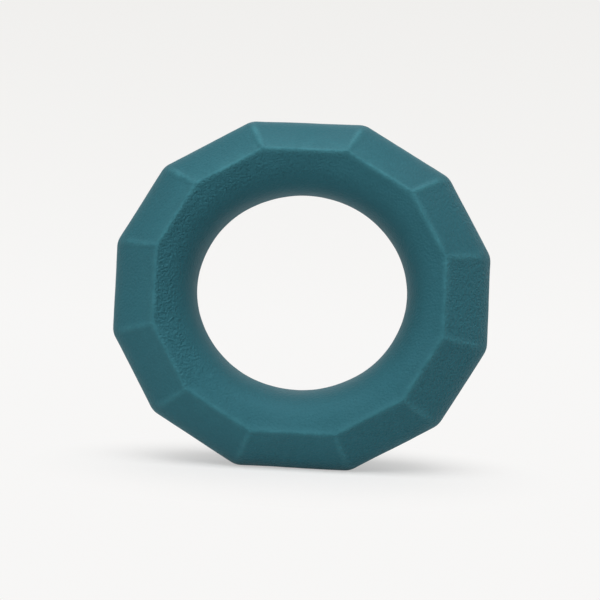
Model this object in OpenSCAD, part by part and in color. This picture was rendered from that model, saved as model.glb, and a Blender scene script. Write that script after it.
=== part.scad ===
// Teething ring: one solid rubber moulding that stands upright on its bottom facet.
// The hole runs along Y with the front towards -Y, and z = 0 is the surface it stands on.
// The section is one chain of tangent curves: waist, inner face, crest, bevel, rim, flat band.
// That section is lofted round the ring between three outlines: an oval hole, a crest polygon
// and a rim polygon, whose edges are parallel so that every bevel stays straight along its length.

/* [Outline] */
// Width across the two upright side facets
ring_w = 80; // [66:0.5:100]
// Height across the top and bottom facets
ring_h = 73.7; // [62:0.1:90]
// Depth from the front crest to the back crest
ring_d = 22; // [18:0.5:30]
// Facets round the outside, in fours so that one always lies flat underneath
facet_count = 12; // [8:4:20]
// Roundness of the shoulders: 2 follows an ellipse, a lower value is squarer
shoulder_roundness = 1.94; // [1.7:0.01:2]

/* [Rim] */
// Width of the flat band round the rim, on which the ring stands
band_w = 5; // [3:0.5:7]
// Rounding between the flat band and the bevels
rim_r = 6; // [3:0.1:7.5]
// Rounding of the rim's corners, seen from the front
rim_corner_r = 4.5; // [1:0.1:8]
// Radius of the slight crown across each bevel
crown_r = 60; // [20:1:120]

/* [Crest] */
// Width across the crest's side edges
crest_w = 60; // [52:0.2:66]
// Height across the crest's top and bottom edges
crest_h = 58.6; // [50:0.2:62]
// Rounding over the crest
crest_r = 1.2; // [0.5:0.1:2]
// Rounding of the crest's corners, seen from the front
crest_corner_r = 1.5; // [0.5:0.1:5]

/* [Hole] */
// Width of the oval hole at its waist, midway through the ring
hole_w = 45.6; // [36:0.2:52]
// Height of the oval hole at its waist
hole_h = 42.2; // [34:0.2:50]
// How far the hole and the crest sit above the middle of the outline, which leaves more rubber underneath
hole_rise = 0.6; // [0:0.1:2]
// Slope of the inner face where it leaves the crest, in degrees
inner_slope = 18; // [8:1:28]
// Fullness of the curve from that slope into the hole: 0.7 is a quarter of an ellipse, more is squarer
inner_fullness = 1.2; // [0.7:0.05:1.6]

/* [Smoothness] */
// Steps round each corner
corner_steps = 3; // [2:1:6]
// Steps along each facet, which the round hole needs
facet_steps = 4; // [3:1:8]
// Steps from the waist to the crest
inner_steps = 6; // [4:1:12]
// Steps over each of the crest, the bevel and the rim's rounding
edge_steps = 3; // [2:1:6]

/* [Hidden] */

teal = "#2f6470";

facet_angle = 360 / facet_count;
station_steps = facet_steps + corner_steps;
stations = facet_count * station_steps;

// Mean widths of the inner face and of a bevel, seen from the front
inner_run = (crest_w + crest_h - hole_w - hole_h) / 4;
bevel_run = (ring_w + ring_h - crest_w - crest_h) / 4;

// Share of the way from the waist to the crest over which the inner face stays a plain oval
oval_until = 0.5;

function mix(a, b, t) = a + (b - a) * t;
function ray(angle) = [cos(angle), sin(angle)];

// The section lies in a plane through the ring's axis: [distance out from the waist, depth].
// A tilt is the angle of its surface away from facing the front, positive when it faces outwards.
function on_arc(centre, r, tilt) = centre + r * [sin(tilt), cos(tilt)];
function tilt_of(v) = atan2(v[0], v[1]);

rim_centre = [inner_run + bevel_run - rim_r, band_w / 2];
crest_centre = [inner_run, ring_d / 2 - crest_r];

// Centre of the crown, an arc that wraps the rim's and the crest's roundings and is tangent to both
crown_chord = crest_centre - rim_centre;
crown_span = norm(crown_chord);
rim_reach = crown_r - rim_r;
crest_reach = crown_r - crest_r;
crown_corner = acos((crown_span ^ 2 + rim_reach ^ 2 - crest_reach ^ 2) / (2 * crown_span * rim_reach));
crown_centre = on_arc(rim_centre, rim_reach, tilt_of(crown_chord) - crown_corner);
rim_tilt = tilt_of(rim_centre - crown_centre);
crest_tilt = tilt_of(crest_centre - crown_centre);

// The inner face starts on the crest's rounding and ends upright at the waist
inner_start = on_arc(crest_centre, crest_r, -inner_slope);
inner_pull = [0, inner_start[1] - tan(inner_slope) * inner_start[0]];
function inner_face(t) =
    let (pull = 2 * inner_fullness * t * (1 - t))
    (t ^ 2 * inner_start + pull * inner_pull) / (t ^ 2 + pull + (1 - t) ^ 2);

function arc_run(centre, r, from, to) =
    [for (i = [0:edge_steps - 1]) on_arc(centre, r, mix(from, to, i / edge_steps))];

half_section = concat(
    [for (i = [0:inner_steps - 1]) inner_face(i / inner_steps)],
    arc_run(crest_centre, crest_r, -inner_slope, crest_tilt),
    arc_run(crown_centre, crown_r, crest_tilt, rim_tilt),
    arc_run(rim_centre, rim_r, rim_tilt, 90),
    [on_arc(rim_centre, rim_r, 90)]
);

// Each level pairs a place across the section with a depth: 0 is the waist, 1 the crest, 2 the rim
function place(out) = out < inner_run ? out / inner_run : 1 + (out - inner_run) / bevel_run;
half_levels = [for (p = half_section) [place(p[0]), p[1]]];
levels = concat(
    [for (p = half_levels) [p[0], -p[1]]],
    [for (i = [len(half_levels) - 1:-1:1]) half_levels[i]]
);

// Distance of a facet's flat from the axis, for a polygon of that width and height
function flat_out(facet, w, h) =
    let (angle = facet * facet_angle)
    let (across = abs(w / 2 * cos(angle)) ^ shoulder_roundness)
    let (up = abs(h / 2 * sin(angle)) ^ shoulder_roundness)
    (across + up) ^ (1 / shoulder_roundness);

// A polygon part of the way from the crest (0) to the rim (1), with its corners rounded
function corner_r(way) = mix(crest_corner_r, rim_corner_r, way);
function inset_flat(facet, way) =
    mix(flat_out(facet, crest_w, crest_h), flat_out(facet, ring_w, ring_h), way) - corner_r(way);
function corner_centre(facet, way) =
    let (here = inset_flat(facet, way))
    let (along = (inset_flat(facet + 1, way) - here * cos(facet_angle)) / sin(facet_angle))
    here * ray(facet * facet_angle) + along * ray(facet * facet_angle + 90);

// Points run along a facet and then round its corner to the next one
function polygon_point(station, way) =
    let (facet = floor(station / station_steps))
    let (step = station % station_steps)
    let (turn = max(0, step - facet_steps) / corner_steps)
    let (centre = mix(corner_centre(facet - 1, way), corner_centre(facet, way), min(1, step / facet_steps)))
    centre + corner_r(way) * ray((facet + turn) * facet_angle);

// Where the ray from the axis through a point meets an oval of that width and height
function on_oval(p, w, h) = p / norm([2 * p[0] / w, 2 * p[1] / h]);

// The inner face is oval all over, and takes up the crest's straight edges only as it nears the crest
function straightness(place) =
    let (t = max(0, place - oval_until) / (1 - oval_until))
    t ^ 2 * (3 - 2 * t);
function inner_point(station, place) =
    let (crest = polygon_point(station, 0))
    let (rounded = mix(on_oval(crest, crest_w, crest_h), crest, straightness(place)))
    mix(on_oval(crest, hole_w, hole_h), rounded, place);

function ring_point(station, level) =
    let (place = level[0])
    let (p = place < 1 ? inner_point(station, place) : polygon_point(station, place - 1))
    let (rise = hole_rise * min(1, 2 - place))
    [p[0], level[1], ring_h / 2 + p[1] + rise];

function loft_faces(rows, columns) = [
    for (row = [0:rows - 1], column = [0:columns - 1])
        let (next_row = (row + 1) % rows)
        let (next_column = (column + 1) % columns)
        let (a = row * columns + column)
        let (b = row * columns + next_column)
        let (c = next_row * columns + next_column)
        let (d = next_row * columns + column)
        each [[a, d, c], [a, c, b]]
];

module teether_ring() {
    color(teal)
        polyhedron(
            points = [for (station = [0:stations - 1], level = levels) ring_point(station, level)],
            faces = loft_faces(stations, len(levels)),
            convexity = 4
        );
}

teether_ring();
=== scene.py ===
import math

import bpy
import numpy as np
from mathutils import Matrix, Vector, noise


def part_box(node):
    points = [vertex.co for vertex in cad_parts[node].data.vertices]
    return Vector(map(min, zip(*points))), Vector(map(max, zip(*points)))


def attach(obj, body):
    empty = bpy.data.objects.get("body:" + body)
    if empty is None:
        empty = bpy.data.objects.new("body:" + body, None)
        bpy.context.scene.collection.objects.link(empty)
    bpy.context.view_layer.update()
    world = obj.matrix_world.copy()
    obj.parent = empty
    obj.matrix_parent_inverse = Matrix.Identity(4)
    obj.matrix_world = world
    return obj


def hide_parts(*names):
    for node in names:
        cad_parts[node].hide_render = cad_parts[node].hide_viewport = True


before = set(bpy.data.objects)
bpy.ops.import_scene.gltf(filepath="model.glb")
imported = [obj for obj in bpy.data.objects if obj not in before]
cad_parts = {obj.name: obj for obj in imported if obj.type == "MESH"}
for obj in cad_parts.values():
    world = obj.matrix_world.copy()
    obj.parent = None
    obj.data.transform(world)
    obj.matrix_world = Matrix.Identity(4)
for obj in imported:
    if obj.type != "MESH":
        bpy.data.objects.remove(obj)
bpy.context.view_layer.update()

NODE = "teether_ring"
BODY = "root"
MM = 0.001

# Overall sizes, from the frame
ring_w, ring_d, ring_h = [(b - a) / MM for a, b in zip(*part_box(NODE))]

# Outline and section, as in the construction apart from the crest, which is rounded more tightly here
FACETS = 12
# Roundness of the shoulders: 2 follows an ellipse, a lower value is squarer
SHOULDER_ROUNDNESS = 1.94
BAND_W = 5.0
RIM_R = 6.0
RIM_CORNER_R = 4.5
CROWN_R = 60.0
CREST_W = 60.0
CREST_H = 58.6
CREST_R = 0.7
CREST_CORNER_R = 1.5
HOLE_W = 45.6
HOLE_H = 42.2
HOLE_RISE = 0.6
# Slope of the inner face where it leaves the crest, and fullness of its curve from there into the hole
INNER_SLOPE = math.radians(18)
INNER_FULLNESS = 1.2
# Share of the way from the waist to the crest over which the inner face stays a plain oval
OVAL_UNTIL = 0.5

# Mesh steps
FACET_STEPS = 40
CORNER_STEPS = 8
INNER_STEPS = 36
CREST_STEPS = 8
CROWN_STEPS = 20
RIM_STEPS = 12
BAND_STEPS = 10
# How much the steps along a facet crowd towards its ends
STATION_EASE = 0.6

FACET_ANGLE = 2 * math.pi / FACETS
STATIONS_PER_FACET = FACET_STEPS + CORNER_STEPS

# The inner face drops a little more steeply just inside the crest: how far, and over what width
LIP_DROP = 0.15
LIP_W = 0.8
# Soft beads along the crest and along the creases between bevels
CREST_BEAD_HEIGHT = 0.14
CREST_BEAD_HALF_W = 0.9
CREASE_BEAD_HEIGHT = 0.2
CREASE_BEAD_HALF_W = 0.75
# Shares of a bevel's width between which the beads and the pale lines of wear and painted highlight along
# its creases fade out
BEAD_FADES_FROM = 0.6
BEAD_FADES_TO = 0.95

# The paler line along the crest, just outside it, and along the creases: partly wear from handling, partly
# a painted highlight on the edges
CREST_WEAR_HIGHLIGHT_AT = 0.1
CREST_WEAR_HIGHLIGHT_HALF_W = 0.65
CREASE_WEAR_HIGHLIGHT_HALF_W = 0.75
# How strong these lines are round most of the ring, and at its top, where more painted highlight makes them
# stronger
WEAR_HIGHLIGHT = 0.72
WEAR_HIGHLIGHT_ON_TOP = 1.3
# A fainter painted highlight that pales each bevel towards the crest, round most of the ring and at its
# top, its width, and the direction round the ring, on the right, in which it is least
PAINTED_PALING = 0.25
PAINTED_PALING_ON_TOP = 0.6
PAINTED_PALING_W = 3.3
PAINTED_PALING_LEAST_AT = math.radians(-10)

# The grain is strongest on faces turned this way, more so inside the crest, and worn smoother on the others
GRAIN_TOWARDS = np.array([0.85, 0, -0.53])
GRAIN_INSIDE = 0.15
# How far a face is turned that way where the grain sets in and where it is full, and its least strength
GRAIN_FROM = 0.1
GRAIN_TO = 0.5
GRAIN_LEAST = 0.3
# Places across the section between which the inner face's grain sets in, from the hole towards the crest
GRAIN_IN_FROM = 0.15
GRAIN_IN_TO = 0.6


def mix(a, b, t):
    return a + (b - a) * t


def bell(gap, half_w):
    """1 where the gap is 0, and next to nothing from twice the half width on."""
    return np.exp(-((gap / half_w) ** 2))


def smooth_step(value, low=0, high=1):
    """0 up to the low value, 1 from the high value on, and a smooth rise between them."""
    t = np.clip((value - low) / (high - low), 0, 1)
    return t**2 * (3 - 2 * t)


# The section, as places across it and depths

# Mean widths of the inner face and of a bevel, seen from the front
inner_run = (CREST_W + CREST_H - HOLE_W - HOLE_H) / 4
bevel_run = (ring_w + ring_h - CREST_W - CREST_H) / 4


def on_arc(centre, r, tilt):
    """A point of the section, where tilt 0 faces the front and a quarter turn faces outwards."""
    return centre + r * np.array([math.sin(tilt), math.cos(tilt)])


def tilt_of(v):
    return math.atan2(v[0], v[1])


def arc_run(centre, r, start, end, steps):
    return [on_arc(centre, r, mix(start, end, i / steps)) for i in range(steps)]


def half_section():
    """Points from the waist, over the crest, to the middle of the rim's flat band: [out, depth]."""
    rim_centre = np.array([inner_run + bevel_run - RIM_R, BAND_W / 2])
    crest_centre = np.array([inner_run, ring_d / 2 - CREST_R])
    chord = crest_centre - rim_centre
    span = np.linalg.norm(chord)
    rim_reach = CROWN_R - RIM_R
    crest_reach = CROWN_R - CREST_R
    corner = math.acos((span**2 + rim_reach**2 - crest_reach**2) / (2 * span * rim_reach))
    crown_centre = on_arc(rim_centre, rim_reach, tilt_of(chord) - corner)
    rim_tilt = tilt_of(rim_centre - crown_centre)
    crest_tilt = tilt_of(crest_centre - crown_centre)

    start = on_arc(crest_centre, CREST_R, -INNER_SLOPE)
    pull_point = np.array([0, start[1] - math.tan(INNER_SLOPE) * start[0]])
    points = []
    for i in range(INNER_STEPS):
        t = i / INNER_STEPS
        pull = 2 * INNER_FULLNESS * t * (1 - t)
        point = (t**2 * start + pull * pull_point) / (t**2 + pull + (1 - t) ** 2)
        drop = LIP_DROP * (1 - math.exp((point[0] - start[0]) / LIP_W))
        points.append(point * (1, 1 - drop / start[1]))
    points += arc_run(crest_centre, CREST_R, -INNER_SLOPE, crest_tilt, CREST_STEPS)
    points += arc_run(crown_centre, CROWN_R, crest_tilt, rim_tilt, CROWN_STEPS)
    points += arc_run(rim_centre, RIM_R, rim_tilt, math.pi / 2, RIM_STEPS)
    edge = on_arc(rim_centre, RIM_R, math.pi / 2)
    points += [edge * (1, 1 - i / BAND_STEPS) for i in range(BAND_STEPS + 1)]
    return points


def place(out):
    """0 at the waist, 1 at the crest, 2 at the rim."""
    return out / inner_run if out < inner_run else 1 + (out - inner_run) / bevel_run


# The outlines that the section is lofted between

angles = np.arange(FACETS) * FACET_ANGLE
normals = np.stack([np.cos(angles), np.sin(angles)], 1)
tangents = np.stack([-np.sin(angles), np.cos(angles)], 1)


def flats_out(w, h):
    """Distance of each facet's flat from the axis, for a polygon of that width and height."""
    spans = np.abs(normals * (w / 2, h / 2)) ** SHOULDER_ROUNDNESS
    return spans.sum(1) ** (1 / SHOULDER_ROUNDNESS)


crest_flats = flats_out(CREST_W, CREST_H)
rim_flats = flats_out(ring_w, ring_h)


def polygon(way):
    """Rounded polygon part of the way from the crest (0) to the rim (1)."""
    r = mix(CREST_CORNER_R, RIM_CORNER_R, way)
    inset = mix(crest_flats, rim_flats, way) - r
    along = (np.roll(inset, -1) - inset * math.cos(FACET_ANGLE)) / math.sin(FACET_ANGLE)
    corners = inset[:, None] * normals + along[:, None] * tangents
    points = []
    for i in range(FACETS):
        for step in range(FACET_STEPS):
            way_along = step / FACET_STEPS
            way_along -= STATION_EASE * math.sin(2 * math.pi * way_along) / (2 * math.pi)
            points.append(mix(corners[i - 1], corners[i], way_along) + r * normals[i])
        for step in range(CORNER_STEPS):
            turn = angles[i] + FACET_ANGLE * step / CORNER_STEPS
            points.append(corners[i] + r * np.array([math.cos(turn), math.sin(turn)]))
    return np.array(points)


def on_oval(points, w, h):
    """Where the rays from the axis through the points meet an oval of that width and height."""
    return points / np.linalg.norm(points * (2 / w, 2 / h), axis=1)[:, None]


def outline(at, crest, crest_oval, waist):
    """The ring's outline at a place across the section."""
    if at >= 1:
        return polygon(at - 1)
    straightness = smooth_step(at, OVAL_UNTIL, 1)
    return mix(waist, mix(crest_oval, crest, straightness), at)


def edges_on(out, flat):
    """For each point of a level: the beads' height, the wear and painted highlight, 1 inside the crest, and
    the grain's share.
    """
    off = out - inner_run
    angle = np.arctan2(flat[:, 1], flat[:, 0])
    top = smooth_step(np.sin(angle))
    # Painted highlight makes the lines of wear stronger towards the top of the ring
    strength = mix(WEAR_HIGHLIGHT, WEAR_HIGHLIGHT_ON_TOP, top)
    inside = np.full(len(flat), float(off < 0))
    grainy = np.full(len(flat), smooth_step(place(out), GRAIN_IN_FROM, GRAIN_IN_TO))
    bead = np.full(len(flat), CREST_BEAD_HEIGHT * bell(off, CREST_BEAD_HALF_W))
    wear_and_highlight = strength * bell(off - CREST_WEAR_HIGHLIGHT_AT, CREST_WEAR_HIGHLIGHT_HALF_W)
    if off > 0:
        # Painted highlight on the bevel near the crest: strongest at the top, fading to nothing on the
        # right
        painted_paling = mix(PAINTED_PALING, PAINTED_PALING_ON_TOP, top) * (1 - smooth_step(np.cos(angle - PAINTED_PALING_LEAST_AT)))
        wear_and_highlight = np.maximum(wear_and_highlight, painted_paling * bell(off, PAINTED_PALING_W))
        creases = flat[FACET_STEPS + CORNER_STEPS // 2::STATIONS_PER_FACET]
        gap = np.linalg.norm(flat[:, None] - creases[None], axis=2).min(1)
        fade = 1 - smooth_step(off / bevel_run, BEAD_FADES_FROM, BEAD_FADES_TO)
        bead = np.maximum(bead, fade * CREASE_BEAD_HEIGHT * bell(gap, CREASE_BEAD_HALF_W))
        wear_and_highlight = np.maximum(wear_and_highlight, strength * fade * bell(gap, CREASE_WEAR_HIGHLIGHT_HALF_W))
    return bead, wear_and_highlight, inside, grainy


def ring_rows():
    """Rows of points round the ring's axis, one per level of the section, with what edges_on gives."""
    crest = polygon(0)
    crest_oval = on_oval(crest, CREST_W, CREST_H)
    waist = on_oval(crest, HOLE_W, HOLE_H)
    front = []
    edges = []
    for out, depth in half_section():
        at = place(out)
        flat = outline(at, crest, crest_oval, waist)
        height = ring_h / 2 + HOLE_RISE * min(1, 2 - at) + flat[:, 1]
        front.append(np.stack([flat[:, 0], np.full(len(flat), -depth), height], 1))
        edges.append(edges_on(out, flat))
    front = np.array(front)
    back = front[-2:0:-1] * (1, -1, 1)
    bead, wear_and_highlight, inside, grainy = np.concatenate([edges, edges[-2:0:-1]]).transpose(1, 0, 2)
    return np.concatenate([front, back]), bead, wear_and_highlight, inside, grainy


def row_normals(rows):
    """Outward normals of the surface through the rows, which closes on itself both ways."""
    across = np.roll(rows, -1, 0) - np.roll(rows, 1, 0)
    along = np.roll(rows, -1, 1) - np.roll(rows, 1, 1)
    out = np.cross(across, along)
    return out / np.linalg.norm(out, axis=2)[:, :, None]


# Height and wavelength of the unevenness of moulded rubber
WAVE_HEIGHT = 0.10
WAVE_LENGTH = 11.0
PEEL_HEIGHT = 0.02
PEEL_LENGTH = 2.2
# The seam that the mould leaves midway through the ring, round the rim and round the hole
SEAM_HEIGHT = 0.07
SEAM_HALF_W = 0.45


def unevenness(p):
    """Height of the long waves and of the finer peel at a point."""
    wave = noise.noise(Vector(p / WAVE_LENGTH)) * WAVE_HEIGHT
    peel = noise.noise(Vector(p / PEEL_LENGTH)) * PEEL_HEIGHT
    return wave + peel


def build_ring():
    rows, bead, wear_and_highlight, inside, grainy = ring_rows()
    out = row_normals(rows)
    flat_rows = rows.reshape(-1, 3)
    lift = np.array([unevenness(p) for p in flat_rows])
    seam = np.maximum(0, 1 - (flat_rows[:, 1] / SEAM_HALF_W) ** 2) * SEAM_HEIGHT
    points = flat_rows + out.reshape(-1, 3) * (lift + seam + bead.ravel())[:, None]
    points[:, 2] = np.maximum(points[:, 2], 0)

    levels, stations = rows.shape[:2]
    index = np.arange(levels * stations).reshape(levels, stations)
    right = np.roll(index, -1, 1)
    up = np.roll(index, -1, 0)
    up_right = np.roll(up, -1, 1)
    faces = np.stack([index, up, up_right, right], -1).reshape(-1, 4)

    mesh = bpy.data.meshes.new("ring")
    mesh.from_pydata((points * MM).tolist(), [], faces.tolist())
    mesh.shade_smooth()
    facing = out @ GRAIN_TOWARDS + GRAIN_INSIDE * inside
    grain = mix(GRAIN_LEAST, 1, grainy * smooth_step(facing, GRAIN_FROM, GRAIN_TO))
    for name, values in (("wear_and_highlight", wear_and_highlight), ("grain", grain)):
        mesh.attributes.new(name, "FLOAT", "POINT").data.foreach_set("value", values.ravel())
    ring = bpy.data.objects.new("ring", mesh)
    bpy.context.collection.objects.link(ring)
    return ring


# Materials


def new_material(name):
    material = bpy.data.materials.new(name)
    material.use_nodes = True
    tree = material.node_tree
    tree.nodes.clear()
    return material, tree


def add(tree, kind, inputs=None, **settings):
    """A node with its settings and input values; a socket as a value is linked."""
    node = tree.nodes.new(kind)
    for key, value in settings.items():
        setattr(node, key, value)
    for key, value in (inputs or {}).items():
        if isinstance(value, bpy.types.NodeSocket):
            tree.links.new(value, node.inputs[key])
        else:
            node.inputs[key].default_value = value
    return node


def combine(tree, operation, a, b):
    return add(tree, "ShaderNodeMath", {0: a, 1: b}, operation=operation).outputs[0]


def stretch(tree, value, source, target=(0, 1), **settings):
    """The value, with the source range stretched over the target range and held at its ends."""
    inputs = {
        "Value": value,
        "From Min": source[0],
        "From Max": source[1],
        "To Min": target[0],
        "To Max": target[1],
    }
    return add(tree, "ShaderNodeMapRange", inputs, **settings).outputs[0]


def lumps(tree, where, scale, detail):
    """Soft noise with about that many lumps to the metre."""
    inputs = {"Vector": where, "Scale": scale, "Detail": detail}
    return add(tree, "ShaderNodeTexNoise", inputs).outputs["Fac"]


TEAL = (0.0205, 0.0940, 0.1155, 1)
# Paler teal for the worn edges and for the painted highlights near the crest
WORN_AND_LIT_TEAL = (0.0415, 0.164, 0.194, 1)
# Tint of the gloss, which the pigment in the rubber's fine grain colours, and its strength
GLOSS_TINT = (0.28, 0.80, 1.0, 1)
GLOSS_LEVEL = 0.55
# Fineness of the patterns, in lumps to the metre
CLOUD_SCALE = 90
SPECKLE_SCALE = 2200
PALE_PATCH_SCALE = 420
PEBBLE_SCALE = 2100
# Range in which most of a noise pattern lies
NOISE_RANGE = (0.3, 0.7)
# From its darkest to its palest places, how much the clouds and the speckles change the colour
CLOUD_SHADE = (0.94, 1.06)
SPECKLE_SHADE = (0.93, 1.07)
# Range of the noise that makes the pale marks patchy, and how much of the wear and painted highlight shows
# in the least and the most patchy places
PALE_PATCH_RANGE = (0.25, 0.65)
PALE_PATCH_SHARE = (0.25, 0.85)
ROUGHNESS = (0.6, 0.7)
GRAIN_DEPTH_M = 0.0003


def rubber_material():
    material, tree = new_material("teal_rubber")
    where = add(tree, "ShaderNodeTexCoord").outputs["Object"]

    # Colour: cloudy over centimetres, speckled at the size of the grain, paler on worn edges and with
    # painted highlights along the crest, the creases and the upper bevels
    cloud = lumps(tree, where, CLOUD_SCALE, detail=3)
    speckle = lumps(tree, where, SPECKLE_SCALE, detail=2)
    cloud_shade = stretch(tree, cloud, NOISE_RANGE, CLOUD_SHADE)
    speckle_shade = stretch(tree, speckle, NOISE_RANGE, SPECKLE_SHADE)
    shade = combine(tree, "MULTIPLY", cloud_shade, speckle_shade)
    wear_and_highlight = add(tree, "ShaderNodeAttribute", attribute_name="wear_and_highlight").outputs["Fac"]
    patches = lumps(tree, where, PALE_PATCH_SCALE, detail=3)
    patchy = stretch(tree, patches, PALE_PATCH_RANGE, PALE_PATCH_SHARE)
    worn_and_lit = combine(tree, "MULTIPLY", wear_and_highlight, patchy)
    base = add(tree, "ShaderNodeMix", {"Factor": worn_and_lit, "A": TEAL, "B": WORN_AND_LIT_TEAL}, data_type="RGBA")
    colour = add(tree, "ShaderNodeHueSaturation", {"Value": shade, "Color": base.outputs["Result"]})

    # Relief: the fine pebbled grain of the mould
    cells = {"Vector": where, "Scale": PEBBLE_SCALE}
    pebbles = add(tree, "ShaderNodeTexVoronoi", cells, feature="SMOOTH_F1").outputs["Distance"]
    relief = combine(tree, "SUBTRACT", pebbles, speckle)
    grain = add(tree, "ShaderNodeAttribute", attribute_name="grain").outputs["Fac"]
    bump = add(tree, "ShaderNodeBump", {"Height": relief, "Strength": grain, "Distance": GRAIN_DEPTH_M})

    surface = add(tree, "ShaderNodeBsdfPrincipled", {
        "Base Color": colour.outputs["Color"],
        "Roughness": stretch(tree, cloud, NOISE_RANGE, ROUGHNESS),
        "Specular IOR Level": GLOSS_LEVEL,
        "Specular Tint": GLOSS_TINT,
        "Normal": bump.outputs["Normal"],
    })
    add(tree, "ShaderNodeOutputMaterial", {"Surface": surface.outputs["BSDF"]})
    return material


def seen_directly(tree):
    """1 for rays that show a surface as such, and 0 for those that only carry its light onwards."""
    path = add(tree, "ShaderNodeLightPath").outputs
    seen = combine(tree, "MAXIMUM", path["Is Camera Ray"], path["Is Glossy Ray"])
    return combine(tree, "MAXIMUM", seen, path["Is Transmission Ray"])


# The floor's own white, and the whites of the backdrop at the horizon and above it
FLOOR_WHITE = (0.88, 0.88, 0.88, 1)
HORIZON_WHITE = (0.934, 0.928, 0.920, 1)
UPPER_WHITE = (0.871, 0.863, 0.847, 1)
FLOOR_HALF_M = 4.0
# The floor shows its light and shadow near the ring, and plain white away from it
GLOW_NEAR = 0.5
FADE_FROM_M = 0.012
FADE_TO_M = 0.06


def floor_material():
    material, tree = new_material("pale_floor")
    where = add(tree, "ShaderNodeTexCoord").outputs["Object"]
    away = add(tree, "ShaderNodeVectorMath", {0: where}, operation="LENGTH").outputs["Value"]
    share = stretch(tree, away, (FADE_FROM_M, FADE_TO_M), (GLOW_NEAR, 1), interpolation_type="SMOOTHSTEP")
    glow_share = combine(tree, "MULTIPLY", share, seen_directly(tree))
    lit = add(tree, "ShaderNodeBsdfDiffuse", {"Color": FLOOR_WHITE}).outputs[0]
    glow = add(tree, "ShaderNodeEmission", {"Color": HORIZON_WHITE, "Strength": 1}).outputs[0]
    both = add(tree, "ShaderNodeMixShader", {0: glow_share, 1: lit, 2: glow})
    add(tree, "ShaderNodeOutputMaterial", {"Surface": both.outputs[0]})
    return material


def build_floor():
    mesh = bpy.data.meshes.new("floor")
    corners = [(x * FLOOR_HALF_M, y * FLOOR_HALF_M, 0) for x, y in ((-1, -1), (1, -1), (1, 1), (-1, 1))]
    mesh.from_pydata(corners, [], [(0, 1, 2, 3)])
    mesh.materials.append(floor_material())
    floor = bpy.data.objects.new("floor", mesh)
    bpy.context.collection.objects.link(floor)


# Light

# Middle of the hole, which the lamps and the camera are placed round
hole_m = Vector((0, 0, (ring_h / 2 + HOLE_RISE) * MM))
LAMP_DISTANCE_M = 0.9
# Strength of the faint light from all round
AMBIENT = 0.02
# Height, as the upward part of a ray's direction, at which the backdrop has its upper white
UPPER_AT = 0.28


def build_world():
    world = bpy.data.worlds.new("studio")
    bpy.context.scene.world = world
    world.use_nodes = True
    tree = world.node_tree
    tree.nodes.clear()
    ray = add(tree, "ShaderNodeTexCoord").outputs["Generated"]
    height = add(tree, "ShaderNodeSeparateXYZ", {0: ray}).outputs["Z"]
    share = stretch(tree, height, (0, UPPER_AT))
    white = add(tree, "ShaderNodeMix", {
        "Factor": share, "A": HORIZON_WHITE, "B": UPPER_WHITE}, data_type="RGBA").outputs["Result"]
    ambient = add(tree, "ShaderNodeBackground", {"Color": (1, 1, 1, 1), "Strength": AMBIENT}).outputs[0]
    backdrop = add(tree, "ShaderNodeBackground", {"Color": white, "Strength": 1}).outputs[0]
    both = add(tree, "ShaderNodeMixShader", {0: seen_directly(tree), 1: ambient, 2: backdrop})
    add(tree, "ShaderNodeOutputWorld", {"Surface": both.outputs[0]})


def direction(azimuth, elevation):
    """Away from the ring, in degrees: azimuth 0 is in front of it, and 90 to its right."""
    turn = math.radians(azimuth)
    rise = math.radians(elevation)
    return Vector((math.sin(turn) * math.cos(rise), -math.cos(turn) * math.cos(rise), math.sin(rise)))


def softbox(name, azimuth, elevation, size_m, watts):
    """A square lamp that faces the ring."""
    away = direction(azimuth, elevation)
    lamp = bpy.data.lights.new(name, "AREA")
    lamp.size = size_m
    lamp.energy = watts
    box = bpy.data.objects.new(name, lamp)
    facing = away.to_track_quat("Z", "Y").to_matrix().to_4x4()
    box.matrix_world = Matrix.Translation(hole_m + away * LAMP_DISTANCE_M) @ facing
    bpy.context.collection.objects.link(box)


# Camera

CAMERA_DISTANCE_M = 0.255
CAMERA_CLIP_START_M = 0.01
# Angles in degrees
CAMERA_AZIMUTH = 2.85
CAMERA_ELEVATION = -1.54
CAMERA_ROLL = 2.62
CAMERA_LENS = 70.8
# How far the middle of the picture lies from the hole's centre, to the right and up
AIM = (-0.22, -1.61)


def build_camera():
    away = direction(CAMERA_AZIMUTH, CAMERA_ELEVATION)
    right = Vector((0, 0, 1)).cross(away).normalized()
    up = away.cross(right)
    place_m = hole_m + away * CAMERA_DISTANCE_M
    aim_m = hole_m + (right * AIM[0] + up * AIM[1]) * MM
    facing = (place_m - aim_m).to_track_quat("Z", "Y").to_matrix().to_4x4()
    roll = Matrix.Rotation(math.radians(CAMERA_ROLL), 4, "Z")
    data = bpy.data.cameras.new("camera")
    data.lens = CAMERA_LENS
    data.clip_start = CAMERA_CLIP_START_M
    camera = bpy.data.objects.new("camera", data)
    camera.matrix_world = Matrix.Translation(place_m) @ facing @ roll
    bpy.context.collection.objects.link(camera)
    bpy.context.scene.camera = camera


# The scene

bpy.context.scene.view_settings.view_transform = "Standard"
build_camera()
build_world()
build_floor()
softbox("key", azimuth=0, elevation=63, size_m=0.8, watts=8.35)
softbox("left", azimuth=-30, elevation=23, size_m=0.6, watts=1.75)
softbox("right", azimuth=110, elevation=10, size_m=0.8, watts=1.4)
softbox("back", azimuth=180, elevation=50, size_m=0.8, watts=0.9)

ring = build_ring()
ring.data.materials.append(rubber_material())
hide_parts(NODE)
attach(ring, BODY)
